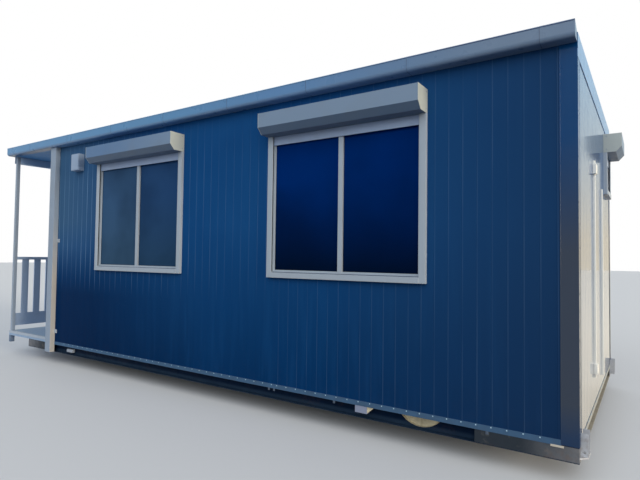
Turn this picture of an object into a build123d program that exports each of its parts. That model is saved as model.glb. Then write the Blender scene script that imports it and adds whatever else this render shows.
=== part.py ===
"""Portable site cabin: a foam-panel room on a steel chassis, with a roofed veranda at one end."""
from build123d import *
import os

# All sizes are in millimetres. While the cabin is being laid out, X runs from the veranda end (0)
# to the far end wall, Y from the outer face of the front wall (0) to the rear, and Z up from the ground.

# Overall sizes
room_length = 6000
veranda_depth = 1200
cabin_width = 3000
front_wall_height = 2530
roof_rise = 30
support_height = 150

# Panels
wall_thickness = 75
floor_thickness = 60
roof_thickness = 60

# Chassis of galvanised channel, toes outward
rail_height = 100
rail_flange = 50
rail_thickness = 5
joist_width = 40
joist_thickness = 4
joist_spacing = 720
chassis_stub = 650
corner_plate_width = 640
corner_plate_return = 185
corner_plate_thickness = 5

# Half-round sling pocket and packing block in the front rail, placed from the far end wall
pocket_width = 335
pocket_depth = 85
pocket_from_end = 1052
pocket_length = 30
pocket_wall = 4
pocket_rib = 8
packer_width = 104
packer_height = 58
packer_from_end = 1525

# Lifting brackets at the two far corners
bracket_reach = 45
bracket_length = 150
bracket_plate = 10
bracket_setback = 15
bracket_foot = 25
bracket_lap = 75
bracket_hole = 18

# Timber support blocks
block_length = 400
block_width = 250
block_setback = 480
block_rows = 4

# Base strip along the foot of the walls
strip_height = 38
strip_thickness = 3
strip_lap = 8
strip_end_gap = 100

# Corner flashing
corner_leg = 100
corner_thickness = 3

# Roof edge
capping_depth = 155
capping_lip = 60
capping_thickness = 4
gutter_reach = 108
gutter_height = 107
gutter_thickness = 3
gutter_round = 31
gutter_bead = 12

# Windows, with sills above the foot of the walls
front_window_width = 1400
front_window_height = 1165
front_window_sill = 1013
front_windows_from_end = (1735, 4377)
end_window_width = 475
end_window_height = 320
end_window_sill = 1858
end_window_from_rear = 575
frame_face = 22
frame_depth = 60
frame_proud = 4
mullion_width = 42
glass_thickness = 6
glass_setback = 8
sash_offset = 10

# Roller shutters over the windows
shutter_side_lap = 46
front_hood_reach = 180
end_hood_reach = 158
hood_face = 126
hood_height = 181
hood_chamfer = 50
hood_lift = 45
guide_width = 50
guide_proud = 32
sill_height = 46
sill_proud = 38
slat_drop = 78
slat_thickness = 12

# Door in the veranda wall
door_width = 820
door_height = 2000
door_thickness = 40
door_gap = 3
door_frame_face = 40
door_frame_proud = 12
door_from_front = 900
door_panel_margin = 117
door_panel_recess = 5
handle_height = 1020
handle_length = 120
handle_diameter = 20
handle_standoff = 45
handle_inset = 65
rose_diameter = 50
rose_thickness = 8
hinge_count = 3
hinge_margin = 220
hinge_height = 100
knuckle_diameter = 12

# Veranda
deck_thickness = 22
deck_frame_width = 45
deck_bearers = 3
deck_foot_height = 94
deck_foot_size = 50
corner_post_size = 120
corner_post_proud = 60
outer_post_size = 42
outer_post_inset = 30
header_depth = 100
balustrade_height = 1045
top_rail_width = 42
top_rail_thickness = 40
kick_board_height = 172
kick_board_clear = 71
picket_width = 88
picket_gap = 78
picket_thickness = 18
cleat_size = 45
cleat_thickness = 8
cleat_heights = (140, 1300)

# Small fittings on the walls
vent_box_width = 160
vent_box_height = 205
vent_box_depth = 78
vent_box_share = 0.536
vent_box_foot = 2185
vent_box_chamfer = 10
trunking_width = 25
trunking_depth = 16
trunking_from_front = (1020, 1780)
trunking_feet = (235, 115)
trunking_top = 1950
trunking_box_width = 70
trunking_box_depth = 28
trunking_box_height = 78
trunking_box_feet = (265, 1840)

# Levels and lengths worked out from the sizes above
overall_length = veranda_depth + room_length
chassis_start = veranda_depth - chassis_stub
base_level = support_height + rail_height
floor_level = base_level + floor_thickness
deck_frame_top = floor_level - deck_thickness
wall_top = base_level + front_wall_height
capping_drop = capping_depth - roof_thickness - capping_thickness
window_half = front_window_width / 2
end_window_middle = cabin_width - end_window_from_rear


def roof_underside(y):
    """Height of the roof panel's underside at a distance y behind the front wall's face."""
    return wall_top + roof_rise * y / cabin_width


def roof_top(y):
    return roof_underside(y) + roof_thickness


def block(x, y, z):
    """A box between the two values given on each axis, in either order."""
    low = [min(pair) for pair in (x, y, z)]
    high = [max(pair) for pair in (x, y, z)]
    middle = [(a + b) / 2 for a, b in zip(low, high)]
    return Pos(*middle) * Box(*[b - a for a, b in zip(low, high)])


def along_x(outline, x0, x1):
    """Extrude an outline of (y, z) points from x0 to x1."""
    face = make_face(Polyline(*[(min(x0, x1), y, z) for y, z in outline], close=True))
    return extrude(face, amount=abs(x1 - x0), dir=(1, 0, 0))


def along_y(outline, y0, y1):
    """Extrude an outline of (x, z) points from y0 to y1."""
    face = make_face(Polyline(*[(x, y0, z) for x, z in outline], close=True))
    return extrude(face, amount=y1 - y0, dir=(0, 1, 0))


def opposite(shape):
    """The same piece on the other long side of the cabin."""
    return mirror(shape, about=Plane.XZ.offset(-cabin_width / 2))


def group(pieces):
    """Pieces that stay separate solids of one node."""
    solids = []
    for piece in pieces:
        solids += piece.solids()
    return Compound(children=solids)


def channel_outline(height, flange, thickness):
    """A channel section with its toes at 0 and its web at the flange's width."""
    inside = flange - thickness
    top = height - thickness
    return [(0, 0), (flange, 0), (flange, height), (0, height),
            (0, top), (inside, top), (inside, thickness), (0, thickness)]


def rail_outline():
    return [(a, support_height + b)
            for a, b in channel_outline(rail_height, rail_flange, rail_thickness)]


# Chassis

def joist_places():
    """X of each joist's left side, spread evenly between the two end rails."""
    first = chassis_start + rail_flange
    last = overall_length - rail_flange - joist_width
    bays = max(2, round((last - first) / joist_spacing))
    return [first + (last - first) * i / bays for i in range(1, bays)]


def support_blocks():
    """Timber blocks under the joists, set back from both long sides."""
    joists = joist_places()
    blocks = []
    for row in range(block_rows):
        x = joists[round(row * (len(joists) - 1) / (block_rows - 1))] + joist_width / 2
        near = block((x - block_width / 2, x + block_width / 2),
                     (block_setback, block_setback + block_length), (0, support_height))
        blocks += [near, opposite(near)]
    return group(blocks)


def chassis_joists():
    """Channel joists between the long rails, under the floor and the deck."""
    outline = channel_outline(rail_height, joist_width, joist_thickness)
    joists = []
    for x in joist_places():
        places = [(x + a, support_height + b) for a, b in outline]
        joists.append(along_y(places, rail_flange, cabin_width - rail_flange))
    return group(joists)


def corner_plate(x_end, inward):
    """An angle plate that closes a front corner of the channel frame, flush with its toes."""
    levels = (support_height + rail_thickness, base_level - rail_thickness)
    front = block((x_end, x_end + inward * corner_plate_width), (0, corner_plate_thickness), levels)
    side = block((x_end, x_end + inward * corner_plate_thickness), (0, corner_plate_return), levels)
    return front + side


def chassis_corner_plates():
    plates = []
    for x_end, inward in ((overall_length, -1), (chassis_start, 1)):
        plate = corner_plate(x_end, inward)
        plates += [plate, opposite(plate)]
    return group(plates)


def long_rail():
    """Channel rail along a long side, cut for the corner plates that lie in its toe plane."""
    rail = along_x(rail_outline(), chassis_start, overall_length)
    for x_end, inward in ((overall_length, -1), (chassis_start, 1)):
        rail -= corner_plate(x_end, inward)
    return rail


def pocket_outline(wall=0):
    """The half-round outline of the sling pocket, flat side up."""
    middle = overall_length - pocket_from_end
    top = base_level - rail_thickness
    half = pocket_width / 2 + wall
    left = (middle - half, 0, top)
    right = (middle + half, 0, top)
    return make_face(ThreePointArc(left, (middle, 0, top - pocket_depth - wall), right)
                     + Line(right, left))


def chassis_front_rail():
    """Front rail with the half-round sling pocket cut through its web."""
    return long_rail() - extrude(pocket_outline(), amount=2 * rail_flange, dir=(0, 1, 0))


def chassis_rear_rail():
    return opposite(long_rail())


def chassis_left_end_rail():
    outline = [(chassis_start + a, b) for a, b in rail_outline()]
    return along_y(outline, rail_flange, cabin_width - rail_flange)


def chassis_right_end_rail():
    outline = [(overall_length - a, b) for a, b in rail_outline()]
    return along_y(outline, rail_flange, cabin_width - rail_flange)


def sling_pocket():
    """Half-round trough behind the opening in the front rail, with a rib down its back plate."""
    outer = extrude(pocket_outline(pocket_wall), amount=pocket_length, dir=(0, 1, 0))
    inner = extrude(pocket_outline(), amount=pocket_length - pocket_wall, dir=(0, 1, 0))
    middle = overall_length - pocket_from_end
    back = pocket_length - pocket_wall
    rib = block((middle - pocket_rib / 2, middle + pocket_rib / 2), (back - pocket_rib, back),
                (support_height, base_level))
    return Pos(0, rail_flange, 0) * (outer - inner + (rib & inner))


def rail_packer():
    """A packing block seated under the top flange of the front rail."""
    middle = overall_length - packer_from_end
    top = base_level - rail_thickness
    return block((middle - packer_width / 2, middle + packer_width / 2),
                 (0, rail_flange - rail_thickness), (top - packer_height, top))


def lifting_bracket():
    """Two upright plates with pin holes on a tapered foot, lapping up over the wall's flashing."""
    x0 = overall_length
    x1 = overall_length + bracket_reach
    y0 = bracket_setback
    y1 = bracket_setback + bracket_length
    low = support_height + bracket_foot
    step = base_level - strip_lap
    high = base_level + bracket_lap
    foot = Polyline((x0, y0, low), (x1, y0 + bracket_reach, low), (x1, y1, low), (x0, y1, low),
                    close=True)
    bracket = extrude(make_face(foot), amount=bracket_plate, dir=(0, 0, 1))
    face = x0 + max(strip_thickness, corner_thickness)
    side = [(x0, low), (x1, low), (x1, high), (face, high), (face, step), (x0, step)]
    for y in (y0 + bracket_reach, y1 - bracket_plate):
        hole = Pos((x0 + x1) / 2, y, (low + step) / 2) * Rot(90, 0, 0)
        bracket += along_y(side, y, y + bracket_plate) - hole * Cylinder(bracket_hole / 2,
                                                                        4 * bracket_plate)
    return bracket


def lifting_brackets():
    bracket = lifting_bracket()
    return group([bracket, opposite(bracket)])


# Room

def floor_panel():
    return block((veranda_depth + wall_thickness, overall_length - wall_thickness),
                 (wall_thickness, cabin_width - wall_thickness), (base_level, floor_level))


def long_wall(y0, y1):
    """A long wall panel, cut to the roof's slope."""
    outline = [(y0, base_level), (y1, base_level), (y1, roof_underside(y1)), (y0, roof_underside(y0))]
    return along_x(outline, veranda_depth, overall_length)


def front_wall():
    """Front wall panel with its two window openings cut through."""
    wall = long_wall(0, wall_thickness)
    sill = base_level + front_window_sill
    for place in front_windows_from_end:
        middle = overall_length - place
        wall -= block((middle - window_half, middle + window_half),
                      (-wall_thickness, 2 * wall_thickness), (sill, sill + front_window_height))
    return wall


def rear_wall():
    return long_wall(cabin_width - wall_thickness, cabin_width)


def cross_wall(x0, x1):
    """A wall panel between the two long walls, cut to the roof's slope."""
    y0 = wall_thickness
    y1 = cabin_width - wall_thickness
    return along_x([(y0, base_level), (y1, base_level), (y1, roof_underside(y1)),
                    (y0, roof_underside(y0))], x0, x1)


def right_end_wall():
    """End wall panel with its small high window opening."""
    sill = base_level + end_window_sill
    half = end_window_width / 2
    return cross_wall(overall_length - wall_thickness, overall_length) - block(
        (overall_length - 2 * wall_thickness, overall_length + wall_thickness),
        (end_window_middle - half, end_window_middle + half), (sill, sill + end_window_height))


def doorway():
    """Y range and top level of the doorway."""
    width = door_width + 2 * (door_gap + door_frame_face)
    return door_from_front, door_from_front + width, floor_level + door_height + door_gap + door_frame_face


def door_wall():
    """Wall between the room and the veranda, with the doorway cut down to the floor."""
    y0, y1, top = doorway()
    return cross_wall(veranda_depth, veranda_depth + wall_thickness) - block(
        (veranda_depth - wall_thickness, veranda_depth + 2 * wall_thickness), (y0, y1),
        (floor_level, top))


def door_frame():
    """Three-sided frame that lines the doorway and stands proud on the veranda side."""
    y0, y1, top = doorway()
    x = (veranda_depth - door_frame_proud, veranda_depth + wall_thickness)
    hole = block((x[0] - wall_thickness, x[1] + wall_thickness),
                 (y0 + door_frame_face, y1 - door_frame_face),
                 (floor_level - door_gap, top - door_frame_face))
    return block(x, (y0, y1), (floor_level, top)) - hole


def door_leaf():
    """The closed door leaf, with two recessed panels on its outer face."""
    y0, y1, top = doorway()
    y = (y0 + door_frame_face + door_gap, y1 - door_frame_face - door_gap)
    z = (floor_level + door_gap, floor_level + door_height)
    leaf = block((veranda_depth, veranda_depth + door_thickness), y, z)
    lock_rail = floor_level + handle_height
    half_rail = door_panel_margin / 2
    for low, high in ((z[0] + door_panel_margin, lock_rail - half_rail),
                      (lock_rail + half_rail, z[1] - door_panel_margin)):
        leaf -= block((veranda_depth - door_panel_recess, veranda_depth + door_panel_recess),
                      (y[0] + door_panel_margin, y[1] - door_panel_margin), (low, high))
    return leaf


def door_hinges():
    """Hinges in the gap between the leaf and the frame, their knuckles outside."""
    y0, y1, top = doorway()
    y = y0 + door_frame_face
    r = knuckle_diameter / 2
    hinges = []
    for i in range(hinge_count):
        z = floor_level + hinge_margin + (door_height - 2 * hinge_margin) * i / (hinge_count - 1)
        levels = (z - hinge_height / 2, z + hinge_height / 2)
        plate = block((veranda_depth - r, veranda_depth + door_thickness), (y, y + door_gap), levels)
        hinges.append(plate + Pos(veranda_depth - r, y + r, z) * Cylinder(r, hinge_height))
    return group(hinges)


def door_handle():
    """Round rose with a lever that turns along the leaf."""
    y0, y1, top = doorway()
    spot = Pos(veranda_depth, y1 - door_frame_face - door_gap - handle_inset,
               floor_level + handle_height)
    rose = Pos(-rose_thickness / 2, 0, 0) * Rot(0, 90, 0) * Cylinder(rose_diameter / 2, rose_thickness)
    neck = Pos(-handle_standoff / 2, 0, 0) * Rot(0, 90, 0) * Cylinder(handle_diameter / 2, handle_standoff)
    lever_start = handle_diameter / 2
    lever = Pos(-handle_standoff, lever_start - handle_length / 2, 0) * Rot(90, 0, 0) * Cylinder(
        handle_diameter / 2, handle_length)
    return spot * (rose + neck + lever)


def corner_flashings():
    """Folded angles over the two far corners of the walls, up to the cappings."""
    x = overall_length
    t = corner_thickness
    side_top = wall_top - capping_drop
    front = block((x - corner_leg, x), (-t, 0), (base_level, wall_top))
    front += block((x, x + t), (-t, corner_leg), (base_level, side_top))
    rear_y = cabin_width
    rear_top = roof_underside(rear_y) - capping_drop
    rear_side_top = roof_underside(rear_y - corner_leg) - capping_drop
    rear = block((x - corner_leg, x + t), (rear_y, rear_y + t), (base_level, rear_top))
    rear += block((x, x + t), (rear_y - corner_leg, rear_y), (base_level, rear_side_top))
    return group([front, rear])


def base_strips():
    """Strips along the foot of the outer walls, lapping over the chassis rails."""
    levels = (base_level - strip_lap, base_level - strip_lap + strip_height)
    front = block((veranda_depth, overall_length - strip_end_gap), (-strip_thickness, 0), levels)
    end = block((overall_length, overall_length + strip_thickness),
                (corner_leg, cabin_width - corner_leg), levels)
    return group([front, opposite(front), end])


# Windows and shutters are laid out facing -Y about X = 0 with the window's foot at Z = 0,
# and then placed on the front wall or turned onto the end wall.

def window_frame(width, height):
    """Outer frame with a centre mullion, standing slightly proud of the wall."""
    frame = block((-width / 2, width / 2), (-frame_proud, frame_depth - frame_proud), (0, height))
    for side in (-1, 1):
        frame -= block((side * mullion_width / 2, side * (width / 2 - frame_face)),
                       (-frame_depth, frame_depth), (frame_face, height - frame_face))
    return frame


def window_glass(width, height):
    """Two sliding panes, one behind the other."""
    panes = []
    for side, back in ((-1, 0), (1, sash_offset)):
        front = glass_setback + back
        panes.append(block((side * mullion_width / 2, side * (width / 2 - frame_face)),
                           (front, front + glass_thickness), (frame_face, height - frame_face)))
    return group(panes)


def shutter_hood(width, height, reach):
    """Box hood of the roller shutter, with a flat face and a chamfered lower edge."""
    half = width / 2 + shutter_side_lap
    low = height + hood_lift
    top = low + hood_height
    return along_x([(0, low), (0, top), (-reach, top), (-reach, top - hood_face),
                    (-reach + hood_chamfer, low)], -half, half)


def shutter_guides(width, height):
    """Side guides of the shutter, joined across their feet by the sloping sill."""
    half = width / 2 + shutter_side_lap
    inner = half - guide_width
    top = height + hood_lift
    guides = along_x([(0, -sill_height), (0, 0), (-guide_proud, 0), (-sill_proud, -frame_proud),
                      (-sill_proud, -sill_height)], -inner, inner)
    for side in (-1, 1):
        guides += block((side * inner, side * half), (-guide_proud, -frame_proud), (-sill_height, top))
        guides += block((side * width / 2, side * half), (-frame_proud, 0), (-sill_height, top))
    return guides


def shutter_slat(width, height):
    """The shutter's bottom slat, showing below the hood between the guides."""
    half = width / 2 + shutter_side_lap - guide_width
    top = height + hood_lift
    return block((-half, half), (-frame_proud - slat_thickness, -frame_proud), (top - slat_drop, top))


def window_unit(name, width, height, reach, place):
    """The five nodes of one shuttered window, moved to their place."""
    return {
        name + "_window_frame": place * window_frame(width, height),
        name + "_window_glass": place * window_glass(width, height),
        name + "_shutter_hood": place * shutter_hood(width, height, reach),
        name + "_shutter_guides": place * shutter_guides(width, height),
        name + "_shutter_slat": place * shutter_slat(width, height),
    }


def all_windows():
    nodes = {}
    for name, place in zip(("front_right", "front_left"), front_windows_from_end):
        nodes.update(window_unit(name, front_window_width, front_window_height, front_hood_reach,
                                 Pos(overall_length - place, 0, base_level + front_window_sill)))
    nodes.update(window_unit("right_end", end_window_width, end_window_height, end_hood_reach,
                             Pos(overall_length, end_window_middle, base_level + end_window_sill)
                             * Rot(0, 0, 90)))
    return nodes


# Roof

def roof_panel():
    """Roof over the room and the veranda, falling towards the front gutter."""
    rear = cabin_width
    return along_x([(0, roof_underside(0)), (rear, roof_underside(rear)), (rear, roof_top(rear)),
                    (0, roof_top(0))], 0, overall_length)


def gutter_section(inset, x, rim):
    """Quad gutter section: low back, tall face and a rounded lower front edge."""
    low = wall_top + inset
    front = -gutter_reach + inset
    radius = gutter_round - inset
    turn = low + radius
    corner = radius * (1 - 0.5 ** 0.5)
    back_top = (x, -inset, roof_top(0) + rim)
    front_top = (x, front, wall_top + gutter_height + rim)
    outline = Line(back_top, front_top) + Line(front_top, (x, front, turn))
    outline += ThreePointArc((x, front, turn), (x, front + corner, low + corner), (x, front + radius, low))
    outline += Line((x, front + radius, low), (x, -inset, low)) + Line((x, -inset, low), back_top)
    return make_face(outline)


def front_gutter():
    """Open-topped gutter with closed ends and a bead along its front lip."""
    t = gutter_thickness
    lip = wall_top + gutter_height
    trough = extrude(gutter_section(0, 0, 0), amount=overall_length, dir=(1, 0, 0))
    trough -= extrude(gutter_section(t, t, gutter_height), amount=overall_length - 2 * t, dir=(1, 0, 0))
    bead = block((t, overall_length - t), (-gutter_reach + t, -gutter_reach + gutter_bead),
                 (lip - 2 * t, lip - t))
    return trough + bead


def end_capping(x_face, outward):
    """Folded capping over one end of the roof: a deep face and a lip on the panel."""
    rear = cabin_width
    t = capping_thickness
    face = along_x([(0, roof_underside(0) - capping_drop), (rear, roof_underside(rear) - capping_drop),
                    (rear, roof_top(rear) + t), (0, roof_top(0) + t)], x_face, x_face + outward * t)
    lip = along_x([(0, roof_top(0)), (rear, roof_top(rear)), (rear, roof_top(rear) + t),
                   (0, roof_top(0) + t)], x_face, x_face - outward * capping_lip)
    return face + lip


def rear_capping():
    """Folded capping along the rear edge, its lip between those of the end cappings."""
    rear = cabin_width
    t = capping_thickness
    inner = rear - capping_lip
    face = block((0, overall_length), (rear, rear + t),
                 (roof_underside(rear) - capping_drop, roof_top(rear) + t))
    lip = along_x([(inner, roof_top(inner)), (rear, roof_top(rear)), (rear, roof_top(rear) + t),
                   (inner, roof_top(inner) + t)], capping_lip, overall_length - capping_lip)
    return face + lip


# Veranda

def corner_post(y_near, y_far, proud_top):
    """A corner post: its proud half runs down past the rail, the rest stands on the rail."""
    x = (veranda_depth - corner_post_size, veranda_depth)
    face = 0 if y_near < 0 else cabin_width
    inside = (0, y_far) if y_near < 0 else (y_near, cabin_width)
    outside = (y_near, 0) if y_near < 0 else (cabin_width, y_far)
    inner = along_x([(inside[0], base_level), (inside[1], base_level),
                     (inside[1], roof_underside(inside[1])), (inside[0], roof_underside(inside[0]))], *x)
    return inner + block(x, outside, (support_height, proud_top))


def corner_posts():
    """Square posts at the room's two veranda corners."""
    y0 = -corner_post_proud
    y1 = y0 + corner_post_size
    rear_top = roof_underside(cabin_width) - capping_drop
    return group([corner_post(y0, y1, wall_top),
                  corner_post(cabin_width - y1, cabin_width - y0, rear_top)])


def post_notches(levels):
    """Space that the corner posts take out of the deck."""
    x = (veranda_depth - corner_post_size, veranda_depth)
    near = block(x, (0, corner_post_size - corner_post_proud), levels)
    return near + opposite(near)


def veranda_deck_frame():
    """Perimeter frame and bearers under the deck."""
    levels = (base_level, deck_frame_top)
    w = deck_frame_width
    rim = (w, veranda_depth - w)
    frame = block((0, veranda_depth), (0, cabin_width), levels)
    frame -= block(rim, (w, cabin_width - w), levels)
    for i in range(deck_bearers):
        middle = cabin_width * (i + 1) / (deck_bearers + 1)
        frame += block(rim, (middle - w / 2, middle + w / 2), levels)
    return frame - post_notches(levels)


def deck_feet():
    """Feet under the deck's outer corners."""
    foot = block((0, deck_foot_size), (0, deck_foot_size), (base_level - deck_foot_height, base_level))
    return group([foot, opposite(foot)])


def veranda_deck():
    levels = (deck_frame_top, floor_level)
    return block((0, veranda_depth), (0, cabin_width), levels) - post_notches(levels)


def outer_post_x():
    return outer_post_inset, outer_post_inset + outer_post_size


def outer_posts():
    """Slender posts at the veranda's outer corners, from the deck to the roof."""
    posts = []
    for y0, y1 in ((0, outer_post_size), (cabin_width - outer_post_size, cabin_width)):
        posts.append(along_x([(y0, floor_level), (y1, floor_level), (y1, roof_underside(y1)),
                              (y0, roof_underside(y0))], *outer_post_x()))
    return group(posts)


def veranda_header():
    """Header under the roof between the outer posts."""
    y0 = outer_post_size
    y1 = cabin_width - outer_post_size
    return along_x([(y0, roof_underside(y0) - header_depth), (y1, roof_underside(y1) - header_depth),
                    (y1, roof_underside(y1)), (y0, roof_underside(y0))], *outer_post_x())


def fence_panel(length):
    """Pickets between a kick board and a top rail, laid out along X from 0 and centred on Y = 0."""
    kick = floor_level + kick_board_clear
    top = floor_level + balustrade_height
    t = picket_thickness / 2
    panel = block((0, length), (-t, t), (kick, kick + kick_board_height))
    panel += block((0, length), (-top_rail_width / 2, top_rail_width / 2), (top - top_rail_thickness, top))
    count = max(1, int((length - picket_gap) / (picket_width + picket_gap)))
    gap = (length - count * picket_width) / (count + 1)
    for i in range(count):
        x = gap + i * (picket_width + gap)
        panel += block((x, x + picket_width), (-t, t), (kick + kick_board_height, top - top_rail_thickness))
    return panel


def end_balustrade():
    """Picket balustrade across the veranda's outer end."""
    middle = outer_post_inset + outer_post_size / 2
    length = cabin_width - 2 * outer_post_size
    return Pos(middle, outer_post_size, 0) * Rot(0, 0, 90) * fence_panel(length)


def rear_balustrade():
    """Picket balustrade along the veranda's rear side, up to the corner post."""
    start = outer_post_inset + outer_post_size
    length = veranda_depth - corner_post_size - start
    return Pos(start, cabin_width - outer_post_size / 2, 0) * fence_panel(length)


def post_cleats():
    """Two small plates that tie the front corner post to the wall."""
    cleats = []
    for height in cleat_heights:
        z = base_level + height
        cleats.append(block((veranda_depth, veranda_depth + cleat_size), (-cleat_thickness, 0),
                            (z, z + cleat_size)))
    return group(cleats)


# Small fittings

def vent_box():
    """Plain louvre box on the front wall, between the veranda and the nearest shutter."""
    window = overall_length - max(front_windows_from_end)
    hood_end = window - window_half - shutter_side_lap
    middle = veranda_depth + vent_box_share * (hood_end - veranda_depth)
    foot = base_level + vent_box_foot
    box = block((middle - vent_box_width / 2, middle + vent_box_width / 2), (-vent_box_depth, 0),
                (foot, foot + vent_box_height))
    front = box.edges().filter_by(Axis.Z).group_by(Axis.Y)[0]
    return chamfer(front, vent_box_chamfer)


def trunking_run(y, foot, top):
    """A run of surface trunking on the end wall."""
    half = trunking_width / 2
    return block((overall_length, overall_length + trunking_depth), (y - half, y + half),
                 (base_level + foot, base_level + top))


def trunking_box(y, foot):
    """A small box on a run of trunking."""
    half = trunking_box_width / 2
    z = base_level + foot
    return block((overall_length, overall_length + trunking_box_depth), (y - half, y + half),
                 (z, z + trunking_box_height))


def end_wall_trunking():
    """Two runs of trunking down the end wall, one with boxes, one up to the level of the shutter's foot."""
    tops = (trunking_top, end_window_sill - sill_height)
    first, second = [trunking_run(*run) for run in zip(trunking_from_front, trunking_feet, tops)]
    for foot in trunking_box_feet:
        first += trunking_box(trunking_from_front[0], foot)
    return group([first, second])


def all_nodes():
    nodes = {
        "support_blocks": support_blocks(),
        "chassis_front_rail": chassis_front_rail(),
        "chassis_rear_rail": chassis_rear_rail(),
        "chassis_left_end_rail": chassis_left_end_rail(),
        "chassis_right_end_rail": chassis_right_end_rail(),
        "chassis_joists": chassis_joists(),
        "chassis_corner_plates": chassis_corner_plates(),
        "sling_pocket": sling_pocket(),
        "rail_packer": rail_packer(),
        "lifting_brackets": lifting_brackets(),
        "floor_panel": floor_panel(),
        "front_wall": front_wall(),
        "rear_wall": rear_wall(),
        "right_end_wall": right_end_wall(),
        "door_wall": door_wall(),
        "door_frame": door_frame(),
        "door_leaf": door_leaf(),
        "door_hinges": door_hinges(),
        "door_handle": door_handle(),
        "corner_flashings": corner_flashings(),
        "base_strips": base_strips(),
        "roof_panel": roof_panel(),
        "front_gutter": front_gutter(),
        "right_end_capping": end_capping(overall_length, 1),
        "left_end_capping": end_capping(0, -1),
        "rear_capping": rear_capping(),
        "corner_posts": corner_posts(),
        "deck_feet": deck_feet(),
        "veranda_deck_frame": veranda_deck_frame(),
        "veranda_deck": veranda_deck(),
        "veranda_outer_posts": outer_posts(),
        "veranda_header": veranda_header(),
        "veranda_end_balustrade": end_balustrade(),
        "veranda_rear_balustrade": rear_balustrade(),
        "post_cleats": post_cleats(),
        "vent_box": vent_box(),
        "end_wall_trunking": end_wall_trunking(),
    }
    nodes.update(all_windows())
    return nodes


def export_all():
    """Move the cabin so that its box is centred on the origin, standing at Z = 0, and write it."""
    nodes = all_nodes()
    boxes = [shape.bounding_box() for shape in nodes.values()]
    middle_x = (min(b.min.X for b in boxes) + max(b.max.X for b in boxes)) / 2
    middle_y = (min(b.min.Y for b in boxes) + max(b.max.Y for b in boxes)) / 2
    os.makedirs("parts", exist_ok=True)
    for name, shape in nodes.items():
        export_step(Pos(-middle_x, -middle_y, 0) * shape, f"parts/{name}.step")


export_all()
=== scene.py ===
"""Looks for the portable site cabin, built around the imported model."""
import math

import bmesh
import bpy
from mathutils import Matrix, Vector


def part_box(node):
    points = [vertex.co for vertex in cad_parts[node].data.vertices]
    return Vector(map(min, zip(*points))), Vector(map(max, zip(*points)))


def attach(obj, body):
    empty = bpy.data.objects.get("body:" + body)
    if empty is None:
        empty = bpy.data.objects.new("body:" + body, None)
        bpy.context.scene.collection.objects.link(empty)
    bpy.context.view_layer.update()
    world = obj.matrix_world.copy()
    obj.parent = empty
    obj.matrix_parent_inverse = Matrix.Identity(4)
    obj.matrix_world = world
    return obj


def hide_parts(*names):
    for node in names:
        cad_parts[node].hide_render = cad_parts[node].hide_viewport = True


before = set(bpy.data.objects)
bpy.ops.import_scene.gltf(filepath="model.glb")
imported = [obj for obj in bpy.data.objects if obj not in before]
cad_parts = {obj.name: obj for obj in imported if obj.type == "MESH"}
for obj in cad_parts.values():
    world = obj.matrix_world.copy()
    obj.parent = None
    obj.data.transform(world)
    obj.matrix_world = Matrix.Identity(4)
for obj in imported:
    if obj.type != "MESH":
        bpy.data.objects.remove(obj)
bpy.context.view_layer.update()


# The layout frame: millimetres, X from the deck's outer edge, Y from the front wall's face
# and Z from the ground

def low(node):
    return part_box(node)[0]


def high(node):
    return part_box(node)[1]


ORIGIN = Vector((low("veranda_deck").x, low("front_wall").y, 0.0))


def at(x, y, z):
    return ORIGIN + Vector((x, y, z)) / 1000.0


def spans(node):
    """The node's range on each axis in the layout frame."""
    a, b = (low(node) - ORIGIN) * 1000.0, (high(node) - ORIGIN) * 1000.0
    return (a.x, b.x), (a.y, b.y), (a.z, b.z)


(ROOM_START, ROOM_END), _, (BASE, WALL_TOP) = spans("front_wall")
FRONT_TOP = WALL_TOP - 0.75
REAR = spans("rear_wall")[1][1]
RAIL_LOW, RAIL_TOP = spans("chassis_front_rail")[2]
STRIP_LOW, STRIP_TOP = spans("base_strips")[2]
DECK_TOP = spans("veranda_deck")[2][1]
WALL = 75.0
SKIN = 3.0
ROOF_THICKNESS = 60.0

# The place of each long side across the cabin, and the way out of it
SIDES = ((0.0, -1), (REAR, 1))

# The room's ends in the frame's own metres, for the looks
ROOM_LEFT, ROOM_RIGHT = at(ROOM_START, 0, 0).x, at(ROOM_END, 0, 0).x

# Grooves of the long walls, as distances from the end wall: (first, pitch, count) of two runs of
# sheets, with a narrower space where the runs meet
FIRST_RUN = (20, 101.9, 24)
SECOND_RUN = (2423.4, 101.6, 35)
RUNS_MEET = 2390


def roof_low(y):
    """Underside of the roof panel at y."""
    _, (front, rear), (lowest, top) = spans("roof_panel")
    rise = top - lowest - ROOF_THICKNESS
    return lowest + rise * y / (rear - front)


# Materials

def linear(rgb):
    """An sRGB colour of 0 to 255 as linear RGBA."""
    out = []
    for c in rgb:
        c /= 255.0
        out.append(c / 12.92 if c <= 0.04045 else ((c + 0.055) / 1.055) ** 2.4)
    return (*out, 1.0)


def toned(rgb, share):
    return tuple(c * share for c in rgb)


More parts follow.
